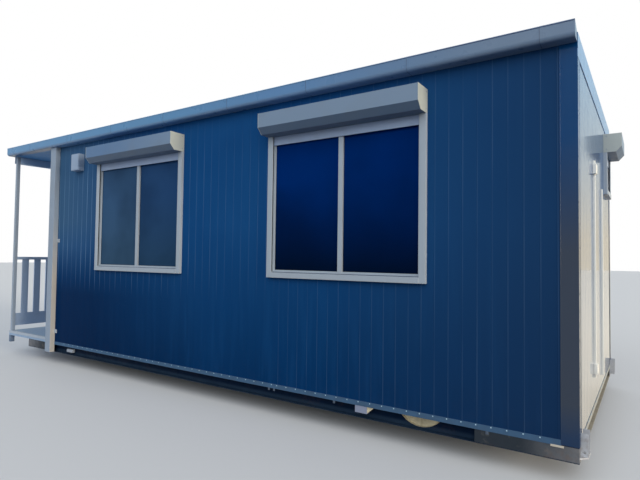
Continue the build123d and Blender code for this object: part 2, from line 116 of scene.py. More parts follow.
class Nodes:
    """The nodes of one material or of the world."""

    def __init__(self, tree, coordinates):
        self.tree = tree
        self.place = self.add("ShaderNodeTexCoord", {}, coordinates)

    def fill(self, node, inputs):
        """Links or sets inputs of a node, by their names or numbers."""
        for socket, value in inputs.items():
            if isinstance(value, bpy.types.NodeSocket):
                self.tree.links.new(value, node.inputs[socket])
            else:
                node.inputs[socket].default_value = value

    def add(self, kind, inputs, output):
        node = self.tree.nodes.new(kind)
        self.fill(node, inputs)
        return node.outputs[output]

    def axis(self, letter):
        return self.add("ShaderNodeSeparateXYZ", {"Vector": self.place}, letter)

    def ranged(self, value, a, b, to_a=0.0, to_b=1.0):
        """Turns the range a to b of a value, or along the axis of that letter, into to_a to to_b."""
        if isinstance(value, str):
            value = self.axis(value)
        return self.add("ShaderNodeMapRange", {"From Min": a, "From Max": b, "To Min": to_a, "To Max": to_b,
                                               "Value": value}, "Result")

    def calc(self, operation, a, b=0.0):
        node = self.tree.nodes.new("ShaderNodeMath")
        node.operation = operation
        self.fill(node, {0: a, 1: b})
        return node.outputs[0]

    def mixed(self, share, a, b):
        """Colour a where the share is 0, and colour b where it is 1."""
        node = self.tree.nodes.new("ShaderNodeMix")
        node.data_type = "RGBA"
        self.fill(node, {"Factor": share, "A": a, "B": b})
        return node.outputs["Result"]

    def ray(self, kind):
        return self.add("ShaderNodeLightPath", {}, kind)

    def seen_directly(self):
        """1 for camera, glossy and transmission rays, 0 for the rays that carry soft light."""
        either = self.calc("MAXIMUM", self.ray("Is Camera Ray"), self.ray("Is Glossy Ray"))
        return self.calc("MAXIMUM", either, self.ray("Is Transmission Ray"))


class Look(Nodes):
    """A procedural material on object coordinates, which are metres here."""

    def __init__(self, name, rgb, rough, specular, metal=0.0):
        self.material = bpy.data.materials.new(name)
        self.material.use_nodes = True
        super().__init__(self.material.node_tree, "Object")
        self.colour = linear(rgb)
        self.set({"Base Color": self.colour, "Roughness": rough, "Metallic": metal,
                  "Specular IOR Level": specular})
        self.normal = None

    def set(self, inputs):
        self.fill(self.tree.nodes["Principled BSDF"], inputs)

    def noise(self, scale, detail, stretch=(1, 1, 1), rough=0.55):
        place = self.add("ShaderNodeMapping", {"Scale": stretch, "Vector": self.place}, "Vector")
        return self.add("ShaderNodeTexNoise", {"Scale": scale, "Detail": detail, "Roughness": rough,
                                               "Vector": place}, "Fac")

    def blend(self, share, rgb):
        """Mixes a further colour over what the base colour is so far."""
        self.colour = self.mixed(share, self.colour, linear(rgb))
        self.set({"Base Color": self.colour})

    def tint(self, rgb, *ranges):
        """Blends a colour in by the product of ranges, each written as what ranged takes."""
        share = self.ranged(*ranges[0])
        for limits in ranges[1:]:
            share = self.calc("MULTIPLY", share, self.ranged(*limits))
        self.blend(share, rgb)

    def roughness(self, value, a, b, to_a, to_b):
        self.set({"Roughness": self.ranged(value, a, b, to_a, to_b)})

    def bump(self, value, strength, distance):
        """Adds a layer of relief over those so far."""
        under = {"Normal": self.normal} if self.normal else {}
        self.normal = self.add("ShaderNodeBump", {"Strength": strength, "Distance": distance,
                                                  "Height": value, **under}, "Normal")
        self.set({"Normal": self.normal})


WALL_DIRT = (70, 68, 64)


def painted(name, rgb, foot, extra, rough=0.16, specular=0.04, shade=None, light=None, grime=0.2):
    """Factory-painted gloss sheet: faint mottling and streaks, painted shade low down, dirt at its foot."""
    k = Look(name, rgb, rough, specular)
    k.set({"IOR": 1.2})
    dark = shade or toned(rgb, 0.86)
    pale = light or tuple(c * 1.08 + 4 for c in rgb)
    # The foot tone, darker low down, is painted shade.
    k.tint(foot, ("Z", 1.7, 0.35, 0.0, 0.8))
    k.tint(dark, (k.noise(0.9, 3), 0.35, 0.7, 0.0, 0.4))
    k.tint(pale, (k.noise(5.0, 5, (3.0, 3.0, 0.22)), 0.5, 0.85, 0.0, 0.3))
    extra(k)
    k.tint(WALL_DIRT, ("Z", 0.6, 0.22), (k.noise(14, 6), 0.45, 0.8, 0.0, grime))
    k.roughness(k.noise(24, 5), 0.3, 0.75, rough - 0.04, rough + 0.08)
    k.bump(k.noise(420, 2), 0.06, 0.0002)
    k.bump(k.noise(3.0, 2, (1, 1, 0.3)), 0.18, 0.0012)
    return k.material


# Colour of the thin painted highlights beside the wall grooves.
GLINT = (128, 162, 196)
GLINT_OFF = 0.008


def glints(k, run, *ranges):
    """Thin pale painted highlights beside the grooves of one run of sheets."""
    start, pitch = ROOM_RIGHT - run[0] / 1000, run[1] / 1000
    spaces = k.calc("SUBTRACT", k.axis("X"), start + GLINT_OFF - pitch / 2)
    place = k.calc("FRACT", k.calc("MULTIPLY", spaces, 1 / pitch))
    k.tint(GLINT, (k.calc("ABSOLUTE", k.calc("SUBTRACT", place, 0.5)), 0.055, 0.0), *ranges)


def long_wall(k):
    """Painted light: greyer shade at the end wall, pale sheen and low shade at the veranda, groove
    highlights.
    """
    left, right, meet = ROOM_LEFT, ROOM_RIGHT, ROOM_RIGHT - RUNS_MEET / 1000
    # Painted shade: greyer and duller towards the end wall.
    k.tint((30, 50, 78), ("X", right - 1.9, right - 0.1, 0.0, 0.6))
    # Painted sheen: paler at mid height towards the veranda.
    k.tint((60, 92, 122), ("X", left + 2.2, left, 0.0, 0.9), ("Z", 1.1, 1.8))
    # Painted shade: darker low down towards the veranda.
    k.tint((2, 32, 68), ("X", left + 2.6, left + 0.8, 0.0, 0.8), ("Z", 1.5, 0.9))
    # Thin painted highlights beside the grooves of each run of sheets.
    patchy = (k.noise(3.0, 3, (4.0, 1.0, 0.5)), 0.35, 0.65, 0.25, 1.0)
    glints(k, SECOND_RUN, patchy, ("X", left + 0.9, left + 2.9, 0.85, 0.14),
           ("X", left + 0.25, left + 0.6, 0.7, 1.0), ("X", meet, meet - 0.01),
           ("Z", 0.95, 1.35), ("Z", 2.55, 2.25, 0.4, 1.0))
    glints(k, FIRST_RUN, patchy, ("X", meet, meet + 0.01, 0.0, 0.1))


def flashing(k):
    """Painted reflection of the bright ground: a grey cast over the middle of the glossy corner flashings.
    """
    k.set({"IOR": 1.4, "Specular IOR Level": 0.12})
    # Painted reflection: greyer over the middle heights.
    k.tint((66, 72, 82), ("Z", 2.2, 1.45, 0.0, 0.85), ("Z", 0.25, 0.5, 0.3, 1.0))


def end_run_sunlit(k):
    """The strip's run on the end wall is paler: painted sunlight."""
    k.tint((150, 152, 150), ("X", ROOM_RIGHT + 0.0005, ROOM_RIGHT + 0.0015))


def end_sheet(k):
    """A glossier sheet with a pale, warm painted reflection low down."""
    k.set({"Coat Weight": 0.5, "Coat Roughness": 0.06, "Coat IOR": 1.5, "IOR": 1.4,
           "Specular IOR Level": 0.5})
    k.set({"Coat Weight": k.ranged("Z", 2.4, 0.6)})
    # Painted reflection of the warm ground, paler low down.
    k.tint((190, 172, 146), ("Z", 1.4, 0.4, 0.0, 0.16))


def trim(name, rgb, rough=0.4, metal=0.0, specular=0.4, dirt=(112, 106, 94), smudge=0.12, extra=None,
         grain=0.1):
    """Powder-coated trim: near even, with faint smudges, dust and fine texture."""
    k = Look(name, rgb, rough, specular, metal)
    k.tint(toned(rgb, 0.95), (k.noise(1.4, 3), 0.35, 0.7, 0.0, 0.35))
    if extra:
        extra(k)
    k.tint(dirt, (k.noise(5.0, 2), 0.5, 0.8, 0.0, smudge))
    k.roughness(k.noise(8, 2), 0.3, 0.7, rough - 0.04, rough + 0.06)
    k.bump(k.noise(700, 2), grain, 0.0003)
    return k.material


def gutter_painted_light(k):
    """Painted light: bluer sky reflection towards the veranda, paler under the bend, deep blue shade under
    the veranda end.
    """
    foot = low("front_gutter").z
    # Painted sky reflection: bluer in two steps towards the veranda.
    k.tint((90, 130, 174), ("X", ROOM_RIGHT - 0.5, ROOM_RIGHT - 2.2))
    k.tint((88, 136, 178), ("X", ROOM_RIGHT - 2.4, ROOM_RIGHT - 3.8))
    # Painted light: paler under the bend.
    k.tint((132, 158, 192), ("Z", foot + 0.034, foot + 0.004, 0.0, 0.45))
    # Painted shade: deep blue at the bottom over the veranda.
    k.tint((44, 88, 130), ("X", ROOM_LEFT + 0.1, ROOM_LEFT - 0.2, 0.0, 0.9),
           ("Z", foot + 0.006, foot + 0.002))


def lip_painted_reflection(k):
    """The rolled lip is dark at the end wall and, by painted sky reflection, pale blue towards the veranda.
    """
    k.tint((100, 146, 184), ("X", ROOM_RIGHT - 0.8, ROOM_RIGHT - 2.6))


def shutter_painted_blue_light(k):
    """Painted light: a bluer cast towards the veranda."""
    k.tint((76, 110, 150), ("X", 0.1, -1.2, 0.0, 0.9))


def sunlight_below_head(k):
    """The posts' painted sunlit side gives way to the plain coat above head height."""
    k.tint((130, 144, 162), ("Z", 1.1, 1.9))


def two_sides(k):
    """The roof's weathered grey upper side over its underside, whose blue is painted shade."""
    k.tint((158, 166, 176), ("Z", 2.815, 2.835))


def galvanised(name, rgb, rust, dust=(150, 148, 142), extra=None, metal=0.2):
    """Dull zinc with a spangle, road dust and rust bleeding at a few places."""
    k = Look(name, rgb, 0.55, metal, metal)
    spangle = k.add("ShaderNodeTexVoronoi", {"Scale": 70.0, "Vector": k.place}, "Distance")
    k.tint(toned(rgb, 1.2), (spangle, 0.0, 0.7, 0.0, 0.3))
    k.tint(toned(rgb, 0.8), (k.noise(6.5, 6), 0.42, 0.7, 0.0, 0.5))
    if extra:
        extra(k)
    bleeding = (k.noise(3.4, 5, (1, 1, 2.2)), 0.54, 0.66)
    k.tint((112, 76, 48), bleeding, (k.noise(38, 4), 0.42, 0.62, 0.0, rust))
    k.tint(dust, (k.noise(17, 7), 0.6, 0.78, 0.0, 0.4))
    k.roughness(k.noise(20, 5), 0.3, 0.7, 0.45, 0.75)
    k.bump(k.noise(160, 4), 0.25, 0.0008)
    return k.material


def lit_lower_flange(k):
    """Painted light, patchy, along the lower part of the rail, below its painted shade higher up."""
    k.tint((32, 48, 66), ("Z", 0.192, 0.172), (k.noise(5.0, 4), 0.3, 0.7, 0.6, 1.0))


def plate_ends(k):
    """Corner plates fade into the rail's painted shade at their inner ends."""
    left, right = low("chassis_front_rail").x, high("chassis_front_rail").x
    k.tint((40, 48, 58), ("X", right + 0.03, right - 0.34), ("X", left - 0.03, left + 0.34))


def welded(k):
    """A weld line down the middle of the pocket, and a grey stain beside it."""
    middle = (low("sling_pocket").x + high("sling_pocket").x) / 2
    off = k.calc("ABSOLUTE", k.calc("SUBTRACT", k.axis("X"), middle))
    k.tint((150, 142, 122), (off, 0.1, 0.02), (k.noise(12.0, 4), 0.4, 0.65, 0.0, 0.5))
    k.tint((134, 126, 108), (off, 0.004, 0.002, 0.0, 0.4))


def timber(name, rgb, along):
    """Weathered sawn timber with grain along one axis."""
    k = Look(name, rgb, 0.82, specular=0.25)
    grain = k.noise(9.0, 8, along, 0.7)
    k.tint(toned(rgb, 0.55), (grain, 0.38, 0.66, 0.0, 0.85))
    k.tint((84, 88, 94), (k.noise(4.0, 4), 0.45, 0.7, 0.0, 0.35))
    k.bump(grain, 0.6, 0.003)
    return k.material


def dark_glass(name, rgb, foot):
    """Deep blue tinted glass, with painted reflection darker at its foot and paler towards the veranda, and
    wipe marks.
    """
    k = Look(name, rgb, 0.03, specular=0.02)
    k.set({"Transmission Weight": 0.08, "IOR": 1.15})
    # Painted reflection: darker at the foot, and paler towards the veranda in two steps.
    k.tint(foot, ("Z", 2.05, 1.3))
    k.tint((52, 86, 118), ("X", 0.6, 0.0, 0.0, 0.62))
    k.tint((84, 116, 142), ("X", -0.84, -0.87, 0.0, 0.3))
    k.tint(toned(foot, 0.6), (k.noise(1.3, 3), 0.42, 0.7, 0.0, 0.35))
    k.roughness(k.noise(2.6, 5), 0.4, 0.8, 0.02, 0.07)
    k.bump(k.noise(1.6, 2), 0.08, 0.001)
    return k.material


def rubber(name):
    """Matt black rubber with a grey bloom."""
    k = Look(name, (18, 18, 20), 0.75, specular=0.25)
    k.tint((44, 43, 42), (k.noise(22, 4), 0.45, 0.75, 0.0, 0.5))
    k.bump(k.noise(300, 3), 0.2, 0.0004)
    return k.material


def floor_sheet(name, rgb):
    """Speckled floor covering with worn patches."""
    k = Look(name, rgb, 0.6, specular=0.35)
    k.tint(toned(rgb, 0.84), (k.noise(120, 3), 0.4, 0.6, 0.0, 0.5))
    k.tint(toned(rgb, 0.9), (k.noise(2.5, 5), 0.45, 0.75, 0.0, 0.4))
    k.bump(k.noise(260, 3), 0.3, 0.0006)
    return k.material


BLUE = painted("blue_wall_paint", (24, 74, 126), foot=(2, 36, 74), extra=long_wall, shade=(12, 62, 114),
               light=(30, 82, 134), grime=0.06)
BLUE_END = painted("blue_end_wall_paint", (8, 66, 118), foot=(8, 50, 90), extra=end_sheet, rough=0.1,
                   shade=(6, 58, 108), light=(18, 76, 130))
BLUE_FLASHING = painted("blue_flashing_paint", (2, 62, 112), foot=(14, 50, 88), extra=flashing,
                        shade=(2, 54, 102), light=(10, 72, 122))
STRIP_BLUE = painted("strip_paint", (74, 106, 140), foot=(70, 98, 128), extra=end_run_sunlit, rough=0.3,
                     specular=0.1, grime=0.3)
TRIM = trim("grey_trim_coat", (158, 168, 180))
CAPPING = trim("capping_coat", (118, 152, 192), 0.3, specular=0.2)
# Paler than the other trims: painted light on the header's shaded inner face.
LIT_HEADER = trim("header_coat", (190, 214, 238))
GUTTER = trim("gutter_coat", (104, 124, 150), 0.3, specular=0.3, smudge=0.04, extra=gutter_painted_light,
              grain=0.0)
LIP = trim("gutter_lip_coat", (74, 96, 132), 0.3, extra=lip_painted_reflection)
SEAM = trim("gutter_seam_sealant", (62, 76, 100), 0.5)
POST = trim("post_coat", (134, 148, 166), 0.45)
# Painted sunlight: a warm pale copy of the post coat for the faces towards the end wall.
POST_SUNLIT_SIDE = trim("post_sunlit_side_coat", (164, 162, 160), 0.45, extra=sunlight_below_head)
SHUTTER = trim("shutter_coat", (116, 136, 160), 0.42, extra=shutter_painted_blue_light)
# Painted shade: a darker copy of the shutter coat for the hoods' downward faces.
SHUTTER_UNDER_SHADE = trim("shutter_underside_shade_coat", (84, 106, 134), 0.5)
CAP = trim("hood_end_cap_coat", (174, 180, 176), 0.42)
# Paler than the hood coat: painted light offsetting the hood's shadow on the slat.
LIT_SLAT = trim("shutter_slat_coat", (150, 168, 198), 0.42)
FRAME_METAL = trim("window_frame_coat", (158, 169, 182), 0.38)
FENCE = trim("fence_coat", (146, 166, 194), 0.5)
# Near-black navy, its dust tone too: painted shade over the galvanised rails, joists and weld beads.
SHADED_ZINC = galvanised("galvanised_steel_shaded", (3, 20, 42), 0.06, dust=(20, 34, 52), extra=lit_lower_flange, metal=0.05)
ZINC_PALE = galvanised("galvanised_plate", (112, 114, 120), 0.2, dust=(122, 116, 110), extra=plate_ends)
BRACKET = galvanised("galvanised_bracket", (176, 178, 184), 0.3, dust=(206, 202, 194))
TAB = galvanised("galvanised_tabs", (78, 90, 108), 0.2, dust=(110, 116, 122))
PAD = galvanised("galvanised_pad", (150, 158, 172), 0.3)
FOOT = galvanised("galvanised_feet", (92, 108, 130), 0.3)
# Paler and warmer than the other rails, its dust tone too: painted sunlight on the end rail.
SUNLIT_END_RAIL = galvanised("galvanised_end_rail_sunlit", (150, 144, 132), 0.3, dust=(184, 176, 160))
# Cream: painted sunlight inside the sling pocket and on the packer's sunlit patch.
SUNLIT_POCKET = galvanised("pocket_steel", (198, 187, 160), 0.3, dust=(220, 210, 186), extra=welded)
PACKER = trim("packer_coat", (136, 144, 168), 0.55)
# Navy-dark timber: painted blue shade over the blocks' grey-brown timber.
SHADED_TIMBER = timber("support_timber", (28, 44, 64), (14, 1, 14))
GLASS = dark_glass("window_glass_tint", (0, 42, 108), (0, 18, 46))
GASKET = rubber("gasket_rubber")
RIVET = trim("rivet_heads", (166, 196, 216), 0.35, metal=0.2)
TAIL = trim("strip_tail_coat", (196, 188, 174), 0.45, smudge=0.5)
WHITE = trim("white_plastic", (244, 242, 234), 0.42, dirt=(190, 186, 174))
VENT = trim("vent_box_coat", (144, 162, 186), 0.45)
DECK = floor_sheet("deck_sheet", (142, 164, 190))
FLOOR_IN = floor_sheet("floor_vinyl", (120, 112, 104))
DOOR = trim("door_coat", (162, 170, 178), 0.42)
STEEL = trim("brushed_fittings", (170, 172, 174), 0.3, metal=0.9, specular=0.5)
# The roof sheet's blue is painted shade on its underside; its upper side is grey.
ROOF = trim("roof_sheet_coat", (84, 136, 184), 0.5, specular=0.08, extra=two_sides)


# Pieces

SHARP_ANGLE = 32.0
FACING = 0.25
DOME_SIDES = 10
# Share of the radius and share of the height of each ring of a rivet's head
DOME_RINGS = ((1.0, -0.3), (0.98, 0.35), (0.62, 0.82))


class Piece:
    """Gathers the faces of one object in the layout frame."""

    def __init__(self):
        self.bm = bmesh.new()

    def soften(self, edges, bevel, segments=2):
        bmesh.ops.bevel(self.bm, geom=list(edges), offset=bevel / 1000.0, segments=segments,
                        profile=0.6, affect="EDGES", clamp_overlap=True)

    def box(self, x, y, z, bevel=0.0, segments=2):
        verts = bmesh.ops.create_cube(self.bm, size=1.0)["verts"]
        for v in verts:
            v.co = at(*[(a + b) / 2 + c * (b - a) for (a, b), c in zip((x, y, z), v.co)])
        if bevel:
            self.soften({e for v in verts for e in v.link_edges}, bevel, segments)

    def band(self, a, b):
        """The faces between two rings of vertices."""
        following = [(i, (i + 1) % len(a)) for i in range(len(a))]
        return [self.bm.faces.new((a[i], b[i], b[j], a[j])) for i, j in following]

    def solid(self, first, last):
        """Closes two rings of vertices, and returns the faces with the two ends first."""
        faces = [self.bm.faces.new(first), self.bm.faces.new(reversed(last))] + self.band(first, last)
        bmesh.ops.recalc_face_normals(self.bm, faces=faces)
        return faces

    def prism(self, outline, place, a, b, bevel=0.0):
        """Extrudes (u, v) points from a to b, where place(u, v, w) gives the layout point."""
        ends = [[self.bm.verts.new(at(*place(u, v, w))) for u, v in outline] for w in (a, b)]
        self.solid(*ends)
        if bevel:
            self.soften({e for v in ends[0] + ends[1] for e in v.link_edges}, bevel)

    def ring(self, middle, axis, radius, sides):
        """Vertices in a circle across the axis, in metres."""
        u = axis.orthogonal().normalized()
        v = axis.cross(u)
        turns = [i * math.tau / sides for i in range(sides)]
        return [self.bm.verts.new(middle + radius * (math.cos(t) * u + math.sin(t) * v)) for t in turns]

    def tube(self, start, end, radius, sides, bevel=0.0):
        a, b = at(*start), at(*end)
        axis = (b - a).normalized()
        faces = self.solid(*[self.ring(p, axis, radius / 1000.0, sides) for p in (a, b)])
        if bevel:
            self.soften([e for f in faces[:2] for e in f.edges], bevel)

    def dome(self, spot, out, radius, height):
        """A rivet or screw head that stands out of a face."""
        foot = at(*spot)
        axis = Vector(out).normalized()
        rings = []
        for share, lift in DOME_RINGS:
            middle = foot + axis * height / 1000.0 * lift
            rings.append(self.ring(middle, axis, radius / 1000.0 * share, DOME_SIDES))
        tip = self.bm.verts.new(foot + axis * height / 1000.0)
        faces = [f for a, b in zip(rings, rings[1:]) for f in self.band(a, b)]
        for a, b in zip(rings[-1], rings[-1][1:] + rings[-1][:1]):
            faces.append(self.bm.faces.new((a, b, tip)))
        faces.append(self.bm.faces.new(list(reversed(rings[0]))))
        bmesh.ops.recalc_face_normals(self.bm, faces=faces)

    def done(self, name, material, slot=None, replaces=(), second=None, towards=(0, 0, -1)):
        """Makes the object. A second material goes on its faces that look the way of towards."""
        mesh = bpy.data.meshes.new(name)
        self.bm.to_mesh(mesh)
        self.bm.free()
        for f in mesh.polygons:
            f.use_smooth = True
        mesh.set_sharp_from_angle(angle=math.radians(SHARP_ANGLE))
        mesh.materials.append(material)
        if second:
            mesh.materials.append(second)
            for f in mesh.polygons:
                f.material_index = 1 if f.normal.dot(Vector(towards)) > FACING else 0
        o = bpy.data.objects.new(name, mesh)
        bpy.context.scene.collection.objects.link(o)
        weighted = o.modifiers.new("even_shading", "WEIGHTED_NORMAL")
        weighted.keep_sharp = True
        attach(o, "root")
        if replaces:
            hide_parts(*replaces)


def ends(a, b, width):
    """The two strips of that width at the ends of the range from a to b."""
    return (a, a + width), (b - width, b)


def dress(material, *nodes):
    """Gives nodes of the model a material."""
    for n in nodes:
        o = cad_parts[n]
        o.data.materials.clear()
        o.data.materials.append(material)


# Ribbed wall sheets over their foam cores

LONG_GROOVES = [first + pitch * i for first, pitch, count in (FIRST_RUN, SECOND_RUN)
                for i in range(count)]
SHEET_GROOVES = 12
LONG_JOINTS = LONG_GROOVES[SHEET_GROOVES::SHEET_GROOVES]
END_GROOVES = [100.0 * i for i in range(1, 30)]
END_JOINTS = (1200.0, 2400.0)
GROOVE_HALF = 2.6
GROOVE_FLAT = 0.35
GROOVE_DEPTH = 1.1
JOINT_WIDER, JOINT_DEEPER = 1.7, 1.15
EDGE_CLEAR = 12


def grooves(a0, a1, lines, joints):
    """Profile points (place along the wall, depth) of the sheet between a0 and a1."""
    points = [(a0, 0.0)]
    for c in sorted(lines):
        if c < a0 + EDGE_CLEAR or c > a1 - EDGE_CLEAR:
            continue
        joint = min(abs(c - j) for j in joints) < 1.0
        half = GROOVE_HALF * (JOINT_WIDER if joint else 1.0)
        depth = GROOVE_DEPTH * (JOINT_DEEPER if joint else 1.0)
        flat = half * GROOVE_FLAT
        points += [(c - half, 0.0), (c - flat, depth), (c + flat, depth), (c + half, 0.0)]
    return points + [(a1, 0.0)]


def cut_in(points, c):
    """Puts a point at c on the profile."""
    for (p, d), (q, e) in zip(points, points[1:]):
        if p < c < q:
            points.append((c, d + (e - d) * (c - p) / (q - p)))
            points.sort()
            break


def wall_sheet(piece, a0, a1, top, holes, place, lines, joints):
    """place(a, depth, z) gives the layout point; holes are (a0, a1, z0, z1)."""
    points = grooves(a0, a1, lines, joints)
    for c in sorted({h[i] for h in holes for i in (0, 1)}):
        cut_in(points, c)
    verts = {}

    def vert(a, d, z):
        key = (round(a, 3), round(d, 3), round(z, 3))
        if key not in verts:
            verts[key] = piece.bm.verts.new(at(*place(a, d, z)))
        return verts[key]

    levels = sorted({h[i] for h in holes for i in (2, 3)})
    faces = []
    for (p, d), (q, e) in zip(points, points[1:]):
        rows_p = [BASE] + levels + [top(p)]
        rows_q = [BASE] + levels + [top(q)]
        middle = (p + q) / 2
        for i in range(len(rows_p) - 1):
            z_mid = (rows_p[i] + rows_p[i + 1]) / 2
            if any(h[0] < middle < h[1] and h[2] < z_mid < h[3] for h in holes):
                continue
            faces.append(piece.bm.faces.new((vert(p, d, rows_p[i]), vert(q, e, rows_q[i]),
                                             vert(q, e, rows_q[i + 1]), vert(p, d, rows_p[i + 1]))))
    edge = [e for e in {e for f in faces for e in f.edges} if e.is_boundary]
    new = bmesh.ops.extrude_edge_only(piece.bm, edges=edge)["geom"]
    back = at(*place(0, SKIN, 0)) - at(*place(0, 0, 0))
    bmesh.ops.translate(piece.bm, vec=back, verts=[g for g in new if isinstance(g, bmesh.types.BMVert)])
    bmesh.ops.recalc_face_normals(piece.bm, faces=piece.bm.faces[:])


def core(piece, a0, a1, top, holes, place):
    """Foam core and inner sheet behind the ribbed sheet, as panels around the openings."""
    cuts = [a0] + sorted({h[i] for h in holes for i in (0, 1)}) + [a1]
    for p, q in zip(cuts, cuts[1:]):
        inside = [h for h in holes if h[0] < (p + q) / 2 < h[1]]
        parts = [(BASE, None)] if not inside else [(BASE, inside[0][2]), (inside[0][3], None)]
        for b, t in parts:
            corners = [(p, b), (q, b), (q, top(q) if t is None else t), (p, top(p) if t is None else t)]
            if corners[2][1] - b < 1:
                continue
            piece.prism(corners, lambda u, v, w: place(u, w, v), SKIN, WALL)


def wall(node, a0, a1, top, holes, place, lines, joints, paint=BLUE):
    skin = Piece()
    wall_sheet(skin, a0, a1, top, holes, place, lines, joints)
    core(skin, a0, a1, top, holes, place)
    skin.done(node + "_ribbed", paint, "blue_panel", (node,))


# Each window's opening as (start and end along its wall, bottom, top)
WINDOWS = {}
for name, wall_axis in (("front_right", 0), ("front_left", 0), ("right_end", 1)):
    opening = spans(name + "_window_frame")
    WINDOWS[name] = (*opening[wall_axis], *opening[2])


def walls():
    _, door_y, door_z = spans("door_frame")
    long_lines = [ROOM_END - a for a in LONG_GROOVES]
    long_joints = [ROOM_END - a for a in LONG_JOINTS]
    wall("front_wall", ROOM_START, ROOM_END, lambda a: FRONT_TOP,
         [WINDOWS["front_right"], WINDOWS["front_left"]],
         lambda a, d, z: (a, d, z), long_lines, long_joints)
    wall("rear_wall", ROOM_START, ROOM_END, lambda a: roof_low(REAR - WALL), [],
         lambda a, d, z: (a, REAR - d, z), long_lines, long_joints)
    wall("right_end_wall", WALL, REAR - WALL, roof_low, [WINDOWS["right_end"]],
         lambda a, d, z: (ROOM_END - d, a, z), END_GROOVES, END_JOINTS, BLUE_END)
    wall("door_wall", WALL, REAR - WALL, roof_low, [(*door_y, *door_z)],
         lambda a, d, z: (ROOM_START + d, a, z), END_GROOVES, END_JOINTS)


# Windows and shutters: each unit is laid out as (u along the wall, out of the wall, z)

RIM = 14.0
FACE = 22.0
BACK, FRONT = -56.0, 4.0
MULLION = 21.0
# Each pane's side of the mullion, and the place of its outer face
PANES = ((-1, -7.4), (1, -17.4))
HOOD_FACE, HOOD_CUT = 126.0, 50.0
GUIDE_WIDTH = 50
SILL_HEIGHT = 46


class Unit(Piece):
    """A piece of the window unit of that name."""

    def __init__(self, name):
        super().__init__()
        self.on_end_wall = name == "right_end"

    def place(self, out, z, u):
        return (ROOM_END + out, u, z) if self.on_end_wall else (u, -out, z)

    def bar(self, u, out, z, bevel=0.0, segments=2):
        corners = [self.place(out[i], z[i], u[i]) for i in (0, 1)]
        self.box(*[sorted(pair) for pair in zip(*corners)], bevel, segments)


def window_bars(name):
    """Outer frame, inner frame set back in it, mullion and lower track."""
    u0, u1, z0, z1 = WINDOWS[name]
    mid = (u0 + u1) / 2
    v0, v1, y0, y1 = u0 + RIM - 1, u1 - RIM + 1, z0 + RIM - 1, z1 - RIM + 1
    bars = Unit(name)
    for u in ends(u0, u1, RIM):
        bars.bar(u, (BACK, FRONT), (z0, z1), 1.2)
    for z in ends(z0, z1, RIM):
        bars.bar((v0, v1), (BACK, FRONT - 0.4), z, 1.2)
    for u in ((v0, u0 + FACE), (u1 - FACE, v1)):
        bars.bar(u, (BACK + 2, -5), (y0, y1), 1.0)
    for z in ((y0, z0 + FACE), (z1 - FACE, y1)):
        bars.bar((u0 + FACE - 1, u1 - FACE + 1), (BACK + 2, -5.5), z, 1.0)
    bars.bar((mid - MULLION, mid + MULLION), (-52, 2.6), (z0 + RIM, z1 - RIM), 1.6)
    bars.bar((u0 + RIM, u1 - RIM), (-7, -3.4), (z0 + RIM, z0 + RIM + 4), 0.8)
    bars.done(name + "_frame_profiles", FRAME_METAL, "window_metal", (name + "_window_frame",))


def glazing_gaskets(name):
    """A thin gasket round each of the two panes."""
    u0, u1, z0, z1 = WINDOWS[name]
    mid, half = (u0 + u1) / 2, (u1 - u0) / 2
    low_z, high_z = z0 + FACE, z1 - FACE
    gaskets = Unit(name)
    for side, out in PANES:
        a0, a1 = sorted((mid + side * MULLION, mid + side * (half - FACE)))
        for u in ends(a0, a1, 3):
            gaskets.bar(u, (out - 2.6, out + 1.2), (low_z, high_z), 0.6, 1)
        for z in ends(low_z, high_z, 3):
            gaskets.bar((a0 + 2.8, a1 - 2.8), (out - 2.6, out + 1.0), z, 0.6, 1)
    gaskets.done(name + "_glazing_gaskets", GASKET)


def hood_range(name):
    """The hood's start and end along its wall, its underside, its top and its reach out of the wall."""
    x, y, z = spans(name + "_shutter_hood")
    if name == "right_end":
        return (*y, *z, x[1] - ROOM_END)
    return (*x, *z, -y[0])


def shutter_hood(name):
    """The five-sided hood with its end caps and their screws."""
    h0, h1, base, top, reach = hood_range(name)
    cover = Unit(name)
    front = reach - 0.8
    outline = [(0, base + 0.6), (0, top - 0.5), (front, top - 0.5), (front, top - HOOD_FACE),
               (front - HOOD_CUT, base + 0.6)]
    cover.prism(outline, cover.place, h0 + 3.5, h1 - 3.5, 1.6)
    # The downward faces get the painted shade coat.
    cover.done(name + "_hood_cover", SHUTTER, "shutter_metal", (name + "_shutter_hood",),
               second=SHUTTER_UNDER_SHADE)

    caps = Unit(name)
    plate = [(0, base), (0, top), (reach, top), (reach, top - HOOD_FACE), (reach - HOOD_CUT, base)]
    for a, b in ends(h0, h1, 4):
        caps.prism(plate, caps.place, a, b, 1.2)
    caps.done(name + "_hood_end_caps", CAP, "shutter_metal")

    screws = Unit(name)
    for end, way in ((h0, -1), (h1, 1)):
        for z in (top - 24, base + 30):
            spot, beyond = screws.place(26, z, end), screws.place(26, z, end + way)
            screws.dome(spot, [q - p for p, q in zip(spot, beyond)], 4.2, 1.6)
    screws.done(name + "_hood_screws", SHUTTER, "shutter_metal")


